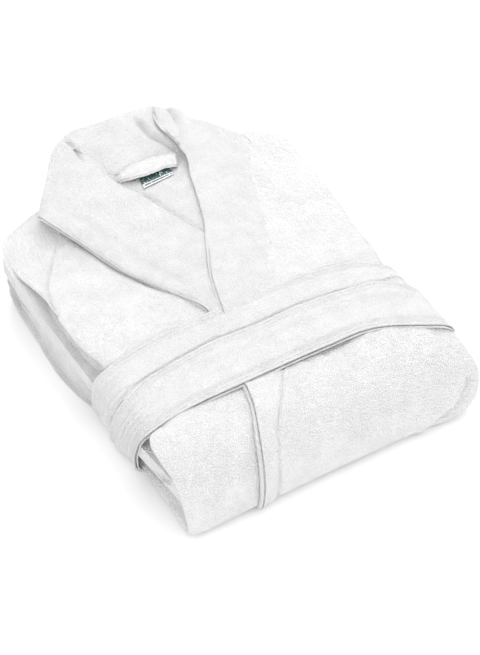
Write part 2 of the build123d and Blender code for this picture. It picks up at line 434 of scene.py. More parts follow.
def inked(name, ground, ink, period, share):
    """Woven label: fine weave, covered by generic dashes of ink but for a share left in the ground."""
    material, nodes, links, shader = new_material(name, ground, 0.55)
    place = add_node(nodes, "ShaderNodeTexCoord")
    weave = add_node(nodes, "ShaderNodeTexWave", bands_direction="X", Scale=0.31 / (0.35 * MM))
    links.new(place.outputs["Object"], weave.inputs["Vector"])
    stretch = add_node(nodes, "ShaderNodeMapping", Scale=(1.0, 0.5, 0.5))
    links.new(place.outputs["Object"], stretch.inputs["Vector"])
    dashes = add_node(nodes, "ShaderNodeTexNoise", Scale=1.0 / (period * MM), Detail=1.0)
    links.new(stretch.outputs["Vector"], dashes.inputs["Vector"])
    bare = remap(nodes, links, dashes.outputs["Fac"], 1 - share - 0.03, 1 - share + 0.03)
    paint(nodes, links, shader, bare, ink, ground)
    emboss(nodes, links, shader, weave.outputs["Fac"], 0.5, 0.15)
    return material


woven = inked("woven_label", ground=(0.86, 0.88, 0.86), ink=(0.05, 0.10, 0.11), period=1.8, share=0.36)
satin, _, _, satin_shader = new_material("satin_label", (0.9, 0.9, 0.9), 0.35)
satin_shader.inputs["Sheen Weight"].default_value = 0.3


def finish_piece(piece, body, material, replaces=()):
    """Gives a piece its material, the body it rides on and the nodes it stands for."""
    piece.data.materials.append(material)
    if body:
        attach(piece, body)
    if replaces:
        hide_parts(*replaces)
    return piece


# ---- camera, light and floor

AZIMUTH = math.radians(-31.1)
ELEVATION = math.radians(43.71)
DISTANCE = 1.7153
TARGET = Vector((0.0087, -0.003, 0.040))
SENSOR = 36.0
FOCAL_LENGTH = SENSOR * 1600 / 655
FLOOR_HALF = 6.0
WORLD_LIGHT = 1.26
KEY_WATTS = 27
FILL_WATTS = 8
LIGHT_AIM = Vector((0.0, 0.0, 0.05))


def make_camera():
    """The camera at the photograph's viewing angle."""
    back = Vector((
        math.sin(AZIMUTH) * math.cos(ELEVATION),
        -math.cos(AZIMUTH) * math.cos(ELEVATION),
        math.sin(ELEVATION),
    ))
    data = bpy.data.cameras.new("camera")
    data.sensor_width = SENSOR
    data.lens = FOCAL_LENGTH
    camera = add_object("camera", data)
    camera.location = TARGET + back * DISTANCE
    camera.rotation_euler = back.to_track_quat("Z", "Y").to_euler()
    bpy.context.scene.camera = camera


def make_light(name, energy, size, place):
    """A soft area light at place, aimed at the pack."""
    data = bpy.data.lights.new(name, "AREA")
    data.energy = energy
    data.size = size
    light = add_object(name, data)
    light.location = place
    light.rotation_euler = (Vector(place) - LIGHT_AIM).to_track_quat("Z", "Y").to_euler()


def make_stage():
    """A plain white floor, a pale world, a large key light from behind and right, and a fill."""
    mesh = bpy.data.meshes.new("floor")
    signs = [(-1, -1), (1, -1), (1, 1), (-1, 1)]
    mesh.from_pydata([(x * FLOOR_HALF, y * FLOOR_HALF, 0) for x, y in signs], [], [(0, 1, 2, 3)])
    mesh.materials.append(new_material("floor_white", (0.94, 0.94, 0.94), 0.9)[0])
    add_object("floor", mesh)
    world = bpy.data.worlds.new("studio")
    world.use_nodes = True
    background = world.node_tree.nodes["Background"].inputs
    background["Color"].default_value = (1, 1, 1, 1)
    background["Strength"].default_value = WORLD_LIGHT
    bpy.context.scene.world = world
    make_light("key", KEY_WATTS, 1.6, (1.1, 1.3, 1.9))
    make_light("fill", FILL_WATTS, 1.8, (-0.9, -1.7, 0.9))
    bpy.context.scene.view_settings.view_transform = "Standard"


make_camera()
make_stage()

# ---- the folded pack

SHOULDER_END = 246.0  # y where the profile starts
UNDER_Z = 7.5  # height of the outer cloth under the pack
PROFILE = [  # (y, z) of the outer cloth, from the shoulders over the top, round the foot and under
    (SHOULDER_END, PACK_TOP), (150, PACK_TOP), (60, PACK_TOP), (-20, PACK_TOP), (-90, PACK_TOP),
    (-128, PACK_TOP - 0.5), (-150, PACK_TOP - 3), (-168, PACK_TOP - 9), (-182, PACK_TOP - 19),
    (-193, PACK_TOP - 34), (-200, PACK_TOP - 52), (-203, 20), (-202, 9), (-196, 3), (-184, 2.2),
    (-165, 5), (-140, UNDER_Z), (-80, UNDER_Z), (-16, UNDER_Z),
]
PROFILE_KNOTS = knots_of(np.array(PROFILE, float))
PROFILE_LENGTH = PROFILE_KNOTS[-1]


def run_at(y):
    """Distance run along the profile where its top passes y."""
    return SHOULDER_END - y


def profile_frame(run):
    """Points (y, z) of the profile at distances run along it, and their outward directions."""
    spot = hermite(PROFILE_KNOTS, PROFILE, run)
    ahead = hermite(PROFILE_KNOTS, PROFILE, run + 1.0) - hermite(PROFILE_KNOTS, PROFILE, run - 1.0)
    ahead /= np.maximum(np.linalg.norm(ahead, axis=-1, keepdims=True), 1e-9)
    outward = np.stack([ahead[..., 1], -ahead[..., 0]], -1)
    return spot, outward


LEFT_EDGE = [  # run past the shoulders, x of the side at the wearer's right
    (0, -118), (3, -138), (8, -152), (14, -159), (22, -163.5), (32, -166), (60, -169), (75, -170),
    (104, -168), (136, -166), (160, -168), (240, -167.5), (268, -162), (310, -159), (358, -160),
    (370, -164), (377, -170), (384, -173), (400, -174), (430, -171), (480, -168), (PROFILE_LENGTH, -166),
]
RIGHT_EDGE = [  # the same at the wearer's left
    (0, 194), (7, 206), (22, 213), (60, 211), (100, 207), (155, 199), (215, 188), (256, 183), (270, 179),
    (300, 178), (350, 178), (376, 178), (396, 180), (430, 182), (466, 185), (488, 181), (505, 170),
    (PROFILE_LENGTH, 166),
]
OPENING = [  # run, x of the left front's edge, which laps over the right one
    (run_at(5), 4), (run_at(-60), -30), (run_at(-115), -54), (run_at(-147), -63), (run_at(-178), -76),
    (465, -85), (495, -88), (520, -86), (PROFILE_LENGTH, -80),
]
# (x, y) of the lines under the collar where the fronts end
RIGHT_ROLL = [(4, 5), (25, 75), (36, 106), (50, 154), (60, 183), (69, 213), (69, 250)]
LEFT_ROLL = [(24, 40), (14, 75), (4, 132), (-8, 176), (-14, 198), (-27, 229), (-34, 250)]
LEFT_DROOP = [(-400, 0), (40, 0), (75, 2.5), (110, 8), (150, 16), (187, 22), (227, 25), (260, 27)]
RIGHT_DROOP = [(-400, 2), (-60, 2), (40, 4), (100, 7), (150, 9), (192, 11), (247, 9)]


def droop(points):
    """How far the top sinks below the flat: towards both shoulders, and a little at the sides."""
    x, y = points[..., 0], points[..., 1]
    left_share = smoothstep(-62, -172, x)
    right_share = smoothstep(95, 205, x)
    left = table(LEFT_DROOP, y)
    right = table(RIGHT_DROOP, y)
    end = 2.5 * smoothstep(215, 246, y) * smoothstep(70, 140, np.abs(x - 15))
    under_sash = smoothstep(-8, -30, y) * smoothstep(-136, -120, y)
    held = 4.5 * under_sash * (smoothstep(-128, -160, x) + smoothstep(145, 180, x))
    return left * left_share + right * right_share + end + held


def pinch(points):
    """The top swells a little on both sides of the sash."""
    y = points[..., 1]
    swell = 2.0 * bump(22, 32, y) + 1.6 * bump(-152, 20, y)
    swell -= 1.8 * smoothstep(-8, -24, y) * smoothstep(-132, -112, y)
    return swell * smoothstep(170, 110, np.abs(points[..., 0])) * smoothstep(0, 40, points[..., 2])


def sweep(run, x, depth):
    """Points swept along the profile: run along it, x across it, depth inside it."""
    spot, outward = profile_frame(run)
    y, z = spot[..., 0] - outward[..., 0] * depth, spot[..., 1] - outward[..., 1] * depth
    swept = np.stack([x, y, z], -1)
    top_share = smoothstep(30, 70, swept[..., 2])
    swept[..., 2] -= droop(swept) * top_share
    swept[..., 2] += pinch(swept)
    return swept


# Start, end and spacing of the rows along the profile, coarser under the pack
RUN_STRETCHES = [(0, 450, SPACING), (450, 505, 2.2), (505, PROFILE_LENGTH, 6)]


def by_run(path):
    """A path of (x, y) on the top, as pairs of run and x."""
    return [(run_at(y), x) for x, y in path]


def section_grid(run, sections, columns):
    """Grid swept along the profile from one section of (x, depth) points for each run.

    columns are the places of the grid's columns, as shares of a section's length."""
    knots = knots_of(np.array(sections[len(sections) // 2], float))
    rows = np.array([hermite(knots, section, columns * knots[-1]) for section in sections])
    return sweep(np.repeat(run[:, None], len(columns), axis=1), rows[..., 0], rows[..., 1])


FRONT_PLY = 3.4  # thickness of the fronts' cloth
FOLD_RADIUS = 4.0  # of the right front's side fold
FOLD_RETURN = 42  # how far the right front runs back under itself
SIDE_DEPTH = 44.0  # how far the left front hangs down the side
# Columns of each front: over the top, then round the side
RIGHT_COLUMNS = spread([(0, 0.78, SPACING / 250), (0.78, 1, SPACING / 250)])
LEFT_COLUMNS = spread([(0, 0.85, SPACING / 290), (0.85, 1, SPACING / 290)])
FRONT_RADII = [(0, 1.3), (40, 1.8), (90, 3.0), (150, FOLD_RADIUS), (PROFILE_LENGTH, FOLD_RADIUS)]
UNDER_LAPEL = [(-56, 22), (-70, 47), (-86, 82), (-93, 103), (-100, 143), (-110, 177)]
SEAM_PATH = [(-108, 192), (-114, 183), (-135, 157), (-152, 131), (-164, 98), (-169, 66)]
BESIDE_SEAM = [(x + 6, y + 4) for x, y in SEAM_PATH]
FOOT_TUCK = [(118, 8), (141, 18), (157, 29), (167, 46)]  # x and height of a crease in the foot's side
FRONT_BAND = [  # run, how far the sewn front band reaches from the opening edge
    (run_at(-100), 50), (run_at(-116), 45), (run_at(-147), 33), (run_at(-176), 23), (470, 20),
    (PROFILE_LENGTH, 20),
]
# Wrinkles and creases of a piece: path in plan, height (below zero for a furrow) and width
RIGHT_FRONT_WRINKLES = [
    (((-150, 20), (-120, 30), (-80, 20)), 1.2, 9), (((-140, 80), (-115, 60), (-100, 30)), -1.0, 9),
    (((-120, 150), (-128, 110), (-120, 70)), 1.0, 10), (((-150, 190), (-135, 200), (-120, 190)), 1.0, 8),
    (((-100, -130), (-110, -160), (-104, -190)), 1.2, 9),
    (((-140, -128), (-146, -160), (-140, -190)), -1.0, 10),
]
LEFT_FRONT_WRINKLES = [
    (((155, 113), (140, 100), (126, 88)), 2.0, 7), (((146, 84), (128, 70)), -1.8, 7),
    (((192, 110), (185, 92), (176, 80)), -2.2, 8), (((190, 188), (170, 178), (150, 165)), -1.4, 7),
    (((186, 90), (160, 80), (130, 60)), 1.3, 10), (((178, 60), (150, 40), (130, 10)), -1.0, 9),
    (((185, 225), (172, 205), (168, 180)), 1.2, 9), (((36, -112), (39, -122), (42, -132)), -1.8, 2.5),
    (((8, -120), (40, -117), (80, -112)), -2.2, 9), (((100, -120), (112, -150), (108, -185)), 1.4, 12),
    (((20, -125), (16, -160), (22, -195)), 1.2, 12), (((60, -130), (66, -165), (58, -195)), -1.2, 12),
    (((150, -130), (140, -165), (150, -190)), 1.0, 10),
]


def ridges(grid, wrinkles, fade, above):
    """Relief of a table of wrinkles, on the part of a grid above a height."""
    lines = [height * groove(grid, path, width, fade) for path, height, width in wrinkles]
    return sum(lines) * (grid[..., 2] > above)


def make_right_front():
    """The wearer's right front: top, side folded under, round the foot and under the pack."""
    run = spread(RUN_STRETCHES)
    edges = table(LEFT_EDGE, run)
    borders = np.where(run < run_at(40), table(by_run(LEFT_ROLL), run), 24)
    unders = 2.8 * smoothstep(run_at(40), run_at(0), run)
    radii = table(FRONT_RADII, run)
    sections = []
    for edge, border, under, r in zip(edges, borders, unders, radii):
        step = (border - edge) / 5
        sections.append([
            (border, under), (border - step, under), (border - 2 * step, 0.4 * under),
            (border - 3 * step, 0), (edge + step, 0), (edge + 2 * r, 0.3), (edge + 0.8 * r, 0.25 * r),
            (edge, r), (edge + 0.8 * r, 1.75 * r), (edge + 2 * r, 2 * r + 1),
            (edge + FOLD_RETURN, 2 * r + 2),
        ])
    grid = section_grid(run, sections, RIGHT_COLUMNS)
    relief = plush(grid, 11, 0.8)
    relief -= 1.9 * groove(grid, SEAM_PATH, 1.9, (4, 8)) * (grid[..., 2] > 55)
    relief += 0.9 * groove(grid, BESIDE_SEAM, 4.0, (6, 10))
    relief += 2.8 * groove(grid, UNDER_LAPEL, 7.0, (10, 14)) * (grid[..., 2] > 60)
    relief += ridges(grid, RIGHT_FRONT_WRINKLES, (14, 14), 40)
    ply = np.minimum(FRONT_PLY, 1.1 * radii)[:, None]
    piece = cloth("right_front_cloth", grid, ply, relief, inside=(0, 0, 45))
    return finish_piece(piece, "robe", velour_rows, replaces=("right_front_panel", "right_front_facing"))


def tuck_relief(grid):
    """The crease in the side of the foot, and the bulge beside it."""
    from_tuck = distance_to(grid[..., [0, 2]], FOOT_TUCK)
    return (2.6 * bump(11, 7, from_tuck) - 4.0 * bump(0, 3.2, from_tuck)) * (grid[..., 1] < -150)


def band_relief(grid, run, borders):
    """The sewn band along the opening: thicker cloth, with a seam and a row of stitches."""
    front = smoothstep(run_at(-100), run_at(-125), run)[:, None]
    width = table(FRONT_BAND, run)[:, None]
    from_edge = grid[..., 0] - borders[:, None]
    slope = np.clip(1 - from_edge / width, 0, 1)
    raised = 1.1 * smoothstep(width + 1, width - 3, from_edge) + 2.6 * slope
    sewn = 1.6 * bump(width, 1.6, from_edge) + 0.5 * bump(7, 1.2, from_edge)
    return (raised - sewn) * front


def make_left_front():
    """The wearer's left front: from the opening over the top and round the side and the foot."""
    run = spread(RUN_STRETCHES)
    edges = table(RIGHT_EDGE, run)
    borders = np.where(run < run_at(5), table(by_run(RIGHT_ROLL), run), table(OPENING, run))
    depths = SIDE_DEPTH * (1 - 0.4 * smoothstep(run_at(-150), run_at(-200), run))
    stand_off = 0.7 + 3.0 * smoothstep(run_at(-140), run_at(-180), run) * smoothstep(498, 476, run)
    sections = []
    for edge, border, d, off in zip(edges, borders, depths, stand_off):
        step = (edge - d - border) / 3
        sections.append([
            (border, -off), (border + step, -0.5 * off), (border + 2 * step, -0.4), (edge - 0.62 * d, 0),
            (edge - 0.27 * d, 0.06 * d), (edge - 0.07 * d, 0.24 * d), (edge, 0.52 * d),
            (edge - 1, 0.86 * d), (edge - 7, d), (edge - 24, 1.02 * d),
        ])
    grid = section_grid(run, sections, LEFT_COLUMNS)
    relief = plush(grid, 21, 0.8) + ridges(grid, LEFT_FRONT_WRINKLES, (10, 14), 20)
    relief += tuck_relief(grid) + band_relief(grid, run, borders)
    piece = cloth("left_front_cloth", grid, FRONT_PLY, relief, inside=(0, 0, 45))
    return finish_piece(piece, "robe", velour_rows, replaces=("left_front_panel", "left_front_facing"))


# ---- the two folded layers

# Sides by y at the wearer's right and left, and heights; the crease is the line between the layers
SKIRT_LEFT = [
    (-195, -164), (-60, -164), (9, -167), (37, -172), (60, -174), (93, -174), (126, -172), (185, -170),
    (200, -169), (207, -166), (212, -160),
]
SIDES_LEFT = [
    (-178, -168), (-161, -172), (-142, -172), (-119, -170), (-60, -165), (-3, -167), (24, -170),
    (56, -172), (82, -173), (109, -174), (190, -174), (198, -171), (203, -165),
]
FOLDS_RIGHT = [(-190, 158), (-120, 172), (0, 180), (100, 190), (180, 188), (212, 170)]
CREASE_Z = [
    (-195, 38), (-189, 50), (-183, 59), (-176, 64), (-168, 59), (-160, 53), (-142, 47), (-119, 42),
    (-3, 47.5), (24, 48.5), (56, 45), (82, 44.5), (109, 42.5), (164, 43.5), (190, 41), (203, 36),
    (208, 31), (212, 24),
]
SKIRT_LOW = [(-195, 8), (-20, 8), (0, 0.6), (150, 0.6), (181, 3), (200, 9), (212, 17)]
SIDES_HIGH = [
    (-172, 68), (-166, 73), (-158, 76), (-150, 77), (30, 77), (75, 73), (110, 68), (150, 61),
    (180, 55), (190, 51), (198, 45), (203, 40),
]
SEEN_FROM = 110  # distance from the middle beyond which a layer's side shows


def shifted(pairs, by):
    """A table with every value moved by the same amount."""
    return [(place, value + by) for place, value in pairs]


def ring_grid(rings, shows, coarse):
    """Grid through rings of control points, one ring a row, each joined end to end.

    The spacing along the rings is coarse where shows(point) of the middle ring is false."""
    closed = np.concatenate([rings, rings[:, :1]], axis=1)
    middle = closed[len(closed) // 2]
    knots = knots_of(middle)
    places = [0.0]
    while True:
        here = hermite(knots, middle, np.array([places[-1]]))[0]
        step = SPACING if shows(here) else coarse
        if places[-1] + 1.5 * step > knots[-1]:
            break
        places.append(places[-1] + step)
    return np.array([hermite(knots, ring, np.array(places)) for ring in closed])


def fold_ring(y, left, right, low, high, recess):
    """Control points round the section of a flat fold of cloth; its sides slope out to a crisp edge.

    recess is how far the top of the side stands back from that edge, near the bottom."""
    height = high - low
    half = [
        (-95, 0), (-1.9 * recess, 0), (-1.3 * recess, -0.04), (-0.8 * recess, -0.14),
        (-0.42 * recess, -0.3), (-0.25 * recess, -0.5), (-0.25 * recess, -0.75), (-0.28 * recess, -0.87),
        (-0.1 * recess, -0.905), (0.5, -0.925), (0.2, -0.955), (-2.4, -1), (-14, -1), (-95, -1),
    ]
    right_side = [(right + dx, y, high + dz * height) for dx, dz in half]
    left_side = [(left - dx, y, high + dz * height) for dx, dz in half[::-1]]
    return right_side + left_side


def make_fold(name, y_stretches, limits, recess, seed, replaces=(), plies=()):
    """A folded layer of the pack: a flat tube of cloth, open at its ends.

    limits gives tables by y of its left side, right side, bottom and top; plies are the heights
    of the lines between plies that show in its side."""
    rows = spread(y_stretches)
    values = [table(limit, rows) for limit in limits]
    rings = np.array([fold_ring(y, *sides, recess) for y, *sides in zip(rows, *values)])
    middle_x = (limits[0][0][1] + limits[1][0][1]) / 2
    grid = ring_grid(rings, lambda point: abs(point[0] - middle_x) > SEEN_FROM, 7.0)
    relief = plush(grid, seed, 0.9)
    for height in plies:
        relief -= 1.8 * bump(height + 1.5 * noise(grid, 60, seed), 1.5, grid[..., 2])
    return finish_piece(band(name, grid, 4.0, relief), "robe", velour, replaces=replaces)


# ---- the sash

# Control points round the pack, as x, z, and y of the upper edge of the inner lap, the upper edge
# of the outer lap and the lower edge of the outer lap
SASH_PATH = np.array([
    (183, 30, -32, -74, -134), (184, 52, -38, -80, -141), (181, 71, -43, -86, -149),
    (170, 84.5, -42, -87, -151), (148, 89, -28, -69, -142), (97, 89.8, -14, -58, -118),
    (47, 90, -11, -54, -116), (-3, 90, -11, -56, -116), (-53, 90, -13, -54, -117),
    (-102, 90, -17, -60, -118), (-144, 89.3, -24, -68, -122), (-163, 86.8, -28, -76, -125),
    (-173, 77, -25, -77, -121), (-176.5, 52, -19, -68, -112), (-174.5, 28, -13, -58, -104),
    (-170, 11, -11, -50, -101), (-160, 4.0, -12, -50, -103), (-60, 3.8, -12, -50, -112),
    (60, 3.8, -12, -50, -112), (166, 4.0, -14, -52, -113), (179, 11, -22, -60, -120),
], float)
SASH_X, SASH_Z, INNER_UPPER, OUTER_UPPER, OUTER_LOWER = SASH_PATH.T
SASH_TOP = slice(4, 11)  # the stations over the top of the pack
SASH_SIDE = slice(10, 16)  # and those down the side at the wearer's right
SASH_WIDTH = 62.0
INNER_LOWER = INNER_UPPER - SASH_WIDTH
SASH_ACROSS = np.arange(0, 1.0001, 1.5 / SASH_WIDTH)
STITCH_ROWS = (3.2, 8.0, 11.0)  # distances from each edge
SIDE_PLEATS = (16, 24, 33, 41, 48)  # distances from the upper edge, down the side


def trench_line(grid):
    """Height in y of the line just above the outer lap's upper edge, over the inner lap."""
    x, z = grid[..., 0], grid[..., 2]
    top = np.interp(x, SASH_X[SASH_TOP][::-1], OUTER_UPPER[SASH_TOP][::-1])
    side = np.interp(z, SASH_Z[SASH_SIDE][::-1], OUTER_UPPER[SASH_SIDE][::-1])
    return np.where(x < SASH_X[SASH_SIDE][0], side, top) + 3.4


def sash_outward():
    """Direction in x and z away from the pack at each station of the sash."""
    from_middle = np.stack([SASH_X - 5, SASH_Z - 45], -1)
    out = np.where(np.abs(from_middle) > (150, 30), np.sign(from_middle), 0.0)
    out /= np.maximum(np.linalg.norm(out, axis=1, keepdims=True), 1)
    out[:, 1] *= np.where(out[:, 1] < 0, 0.9, 1)
    return out.T


def make_sash_layer(name, upper, lower, lift, thickness, seed, replaces=(), trench=False):
    """One thickness of one lap of the sash.

    lift(y) says how far its outer side stands off the path: more where the outer lap lies over
    the inner one."""
    out_x, out_z = sash_outward()
    rows = []
    for across in SASH_ACROSS:
        y = upper + (lower - upper) * across
        rows.append(np.stack([SASH_X + out_x * lift(y), y, SASH_Z + out_z * lift(y)], -1))
    grid = ring_grid(np.array(rows), lambda point: point[2] > 12, 6.0)
    relief = plush(grid, seed, 0.45)
    across = (SASH_ACROSS * SASH_WIDTH)[:, None]
    if trench:
        ragged = trench_line(grid) + 0.7 * noise(grid, 3.2, seed + 7)
        relief -= 4.2 * bump(ragged, 2.3, grid[..., 1]) * (grid[..., 2] > 20)
    for row in STITCH_ROWS:
        relief -= 1.3 * (bump(row, 1.2, across) + bump(SASH_WIDTH - row, 1.2, across))
    down_side = smoothstep(-135, -168, grid[..., 0]) * smoothstep(6, 30, grid[..., 2])
    for place in SIDE_PLEATS:
        wander = place + 1.5 * noise(grid, 40, seed + 3)
        relief -= 1.8 * bump(wander, 1.5, across) * down_side
    return finish_piece(band(name, grid, thickness, relief), "sash", sash_terry, replaces=replaces)


def make_sash():
    """Two laps of one sash, each of two thicknesses; the outer lap lies over the inner one's edge."""

    def even(base):
        return lambda y: base + 0 * y

    def over_inner(base):
        return lambda y: base + 2.6 * smoothstep(-6, 6, y - INNER_LOWER)

    back_upper, back_lower = OUTER_UPPER + 0.6, OUTER_LOWER - 2.4
    layers = [
        make_sash_layer("sash_inner_lap", INNER_UPPER, INNER_LOWER, even(0.4), 1.9, 31, ("sash",), True),
        make_sash_layer("sash_inner_lap_back", INNER_UPPER + 0.8, INNER_LOWER, even(-1.6), 1.7, 32),
        make_sash_layer("sash_outer_lap", OUTER_UPPER, OUTER_LOWER, over_inner(1.4), 2.2, 33),
        make_sash_layer("sash_outer_lap_back", back_upper, back_lower, over_inner(-1.2), 1.8, 34),
    ]


# ---- the collar and the neck

# Stations round the neck, each of points from the neck outwards
RIGHT_COLLAR = [
    ((6, -27, 84), (-6, -27, 85), (-16, -27, 85.5), (-26, -26, 86), (-34, -24, 84)),
    ((14, -13, 87), (0, -12, 90), (-14, -11, 90.9), (-25, -8, 91), (-33, -6, 89)),
    ((27, 20, 89), (14, 22, 93), (-14, 21, 93.7), (-39, 19, 94.4), (-48, 24, 91)),
    ((36, 52, 89), (25, 56, 94), (-12, 53, 94.2), (-54, 46, 95.6), (-63.5, 51, 92)),
    ((30, 86, 90), (20, 87, 96), (-22, 83, 94.7), (-71, 76, 96.6), (-80, 83, 92.5)),
    ((19, 112, 90), (9, 111, 96.8), (-32, 111, 94.7), (-78.5, 101, 97), (-87.5, 106, 93)),
    ((8, 146, 91), (-3, 148, 98.6), (-42, 143, 95.7), (-86.5, 134, 97.4), (-96.5, 141, 93)),
    ((-6, 188, 91), (-19, 192, 101), (-56, 181, 97.2), (-96, 171, 97.8), (-107, 178, 93)),
    ((-12, 214, 92), (-31, 212, 102), (-68, 209, 99.2), (-104, 207, 98.4), (-116, 211, 92.5)),
    ((-17, 237, 91), (-38, 256, 105), (-74, 246, 102), (-106, 234, 97), (-112, 234, 80)),
    ((-13, 238, 91), (-38, 284, 110), (-68, 272, 106), (-90, 258, 98), (-92, 259, 70)),
    ((-8, 238, 93), (-42, 301, 112), (-56, 296, 109), (-68, 290, 102), (-70, 291, 62)),
    ((2, 234, 94), (-28, 308, 113), (-40, 313, 107), (-50, 313, 92), (-54, 312, 55)),
    ((22, 231, 95.5), (10, 307, 114), (4, 315, 107), (0, 320, 88), (0, 322, 50)),
    ((46, 228, 93.5), (46, 305, 115), (50, 315, 107), (52, 320, 88), (52, 322, 50)),
    ((64, 224, 92), (76, 300, 115), (86, 309, 105), (94, 314, 84), (96, 314, 52)),
    ((74, 218, 92), (90, 282, 109), (108, 290, 98), (118, 292, 78), (120, 292, 54)),
]
LEFT_COLLAR = [
    ((-10, -27, 82), (-24, -27, 84.5), (4, -27, 87.5), (30, -27, 87), (54, -27, 86)),
    ((-6, -13, 86), (-21, -12, 90.2), (8, -13, 92), (34, -14, 91), (58, -14, 89)),
    ((6, 28, 89.5), (-9, 29, 95), (20, 22, 95), (44, 18, 93), (66, 22, 90)),
    ((26, 72, 87), (11, 72, 97), (40, 62, 96.5), (63, 54, 94), (84, 58, 90)),
    ((42, 106, 88.5), (29, 107, 98), (58, 96, 97.5), (83, 86, 95), (104, 90, 90)),
    ((60, 152, 91), (47, 154, 100), (76, 142, 100), (103, 124, 96), (124, 127, 90)),
    ((66, 184, 94.5), (56, 184, 102.5), (88, 174, 102), (120, 160, 97), (141, 163, 89)),
    ((78, 212, 95), (67, 213, 105), (98, 206, 104.5), (134, 194, 97.5), (155, 198, 88)),
    ((79, 234, 96), (67, 236, 106.5), (100, 232, 107), (138, 226, 98.5), (160, 228, 86)),
    ((77, 254, 98), (65, 256, 109), (95, 256, 110), (130, 250, 101), (152, 252, 84)),
    ((75, 276, 101), (64, 280, 112), (87, 280, 112.5), (108, 272, 106), (124, 276, 80)),
    ((76, 292, 106), (71, 303, 114.5), (87, 300, 113.5), (100, 293, 106), (106, 296, 76)),
    ((80, 304, 104), (76, 308, 109), (86, 309, 100), (96, 309, 88), (102, 309, 66)),
]
# Creases: path in plan, height and width
RIGHT_COLLAR_CREASES = [
    (((-41, 304), (-38, 293), (-37, 282), (-40, 264)), -5.0, 3.2),
    (((-46, 296), (-44, 280), (-46, 264)), 1.6, 4.0),
    (((-36, 40), (-54, 80), (-65, 118), (-75, 158), (-84, 194)), -3.4, 6.0),
    (((-44, 32), (-66, 78), (-78, 118), (-88, 158), (-97, 190)), 1.2, 5.0),
    (((46, 292), (48, 280), (51, 266), (58, 256), (64, 246), (70, 236)), -5.0, 2.6),
    (((52, 298), (55, 284), (58, 270), (65, 257)), 3.2, 4.0),
    (((44, 302), (46, 292), (50, 284)), -2.4, 2.4),
    (((40, 270), (48, 258), (58, 244)), 1.6, 5.0),
    (((0, 296), (8, 280), (6, 262)), -1.2, 9.0),
]
LEFT_COLLAR_CREASES = [
    (((79, 298), (80, 280), (78, 266), (74, 253), (70, 241)), -7.5, 7.5),
    (((88, 296), (87, 280), (84, 264), (79, 250)), -2.4, 3.0),
    (((96, 290), (95, 268), (89, 248), (82, 230)), 2.0, 5.0),
    (((128, 226), (118, 200), (104, 165), (86, 130), (70, 100)), 1.0, 7.0),
    (((120, 232), (112, 204), (98, 172), (82, 140)), -0.9, 5.0),
]
# How far the left half's outer edge stands above the front under it, at the first stations
LEFT_COLLAR_RISE = [-1.4, -1.0, -0.8, -0.8, -0.8, -1.0, -1.0, -0.2, 3.0]
# Path in plan of a furrow in the neck facing, beside the right lapel's roll
ROLL_FOOT = [(-4, 203), (3, 172), (12, 139), (20, 110), (26, 84)]


def across_collar(grid, thicknesses):
    """Thickness of a collar grid, from values at places across it."""
    return hermite([0, 0.2, 0.7, 1], thicknesses, np.linspace(0, 1, grid.shape[1]))[None, :]


def make_right_collar():
    """The wearer's right half of the shawl collar and its back, which carries on round the neck."""
    grid = net_surface(RIGHT_COLLAR, SPACING)
    relief = plush(grid, 41, 0.9) + ridges(grid, RIGHT_COLLAR_CREASES, (6, 8), 84)
    thick = across_collar(grid, [3.5, 4.5, 5.0, 6.0])
    piece = cloth("collar_right_and_back", grid, thick, relief, inside=(-20, 150, -600))
    finish_piece(piece, None, velour, replaces=("right_lapel", "back_collar"))
    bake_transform(piece)
    return piece


def front_height(x, y):
    """Height of the fronts' top at a place in plan."""
    place = np.array([[x, y, PACK_TOP]], float)
    return float(PACK_TOP - droop(place)[0] + pinch(place)[0])


def make_left_collar():
    """The wearer's left half of the collar, lapped over the other half from the back of the neck."""
    net = [list(station) for station in LEFT_COLLAR]
    for station, rise in zip(net, LEFT_COLLAR_RISE):
        for i, above in ((3, 3.2), (4, 0)):
            x, y, _ = station[i]
            station[i] = (x, y, front_height(x, y) + rise + above)
    grid = net_surface(net, SPACING)
    relief = plush(grid, 51, 0.9) + ridges(grid, LEFT_COLLAR_CREASES, (6, 8), 84)
    thick = across_collar(grid, [3.0, 4.0, 3.0, 0.9])
    piece = cloth("collar_left", grid, thick, relief, inside=(60, 150, -600))
    finish_piece(piece, None, velour, replaces=("left_lapel",))
    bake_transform(piece)
    return piece


def make_neck():
    """Inside of the back in the neck opening, rising to the neck seam and on inside the collar."""
    net = [
        [(-30, -10, 84), (5, -10, 87), (40, -10, 87), (75, -10, 84)],
        [(-30, 60, 86), (10, 60, 92), (30, 60, 93), (80, 60, 86)],
        [(-38, 120, 88), (5, 120, 93), (42, 120, 96), (92, 120, 92)],
        [(-48, 190, 89), (0, 190, 91), (56, 190, 97.5), (100, 190, 97)],
        [(-60, 230, 92), (0, 230, 91.5), (52, 230, 93.5), (108, 230, 97)],
        [(-68, 250, 91), (0, 252, 91.5), (50, 252, 91.5), (112, 250, 90)],
        [(-66, 285, 92), (0, 294, 97), (50, 294, 97), (104, 284, 92)],
        [(-62, 296, 78), (0, 306, 82), (50, 306, 82), (100, 296, 78)],
        [(-60, 296, 48), (0, 306, 48), (50, 306, 48), (98, 296, 48)],
    ]
    grid = net_surface(net, 1.8)
    relief = plush(grid, 61, 0.7) * smoothstep(310, 280, grid[..., 1])
    relief -= 2.6 * groove(grid, ROLL_FOOT, 5.0, (12, 10))
    piece = cloth("neck_facing", grid, 4.0, relief, inside=(20, 100, -400))
    return finish_piece(piece, "robe", velour, replaces=("back_neck_facing", "under_collar"))


# ---- the hanging loop and the label

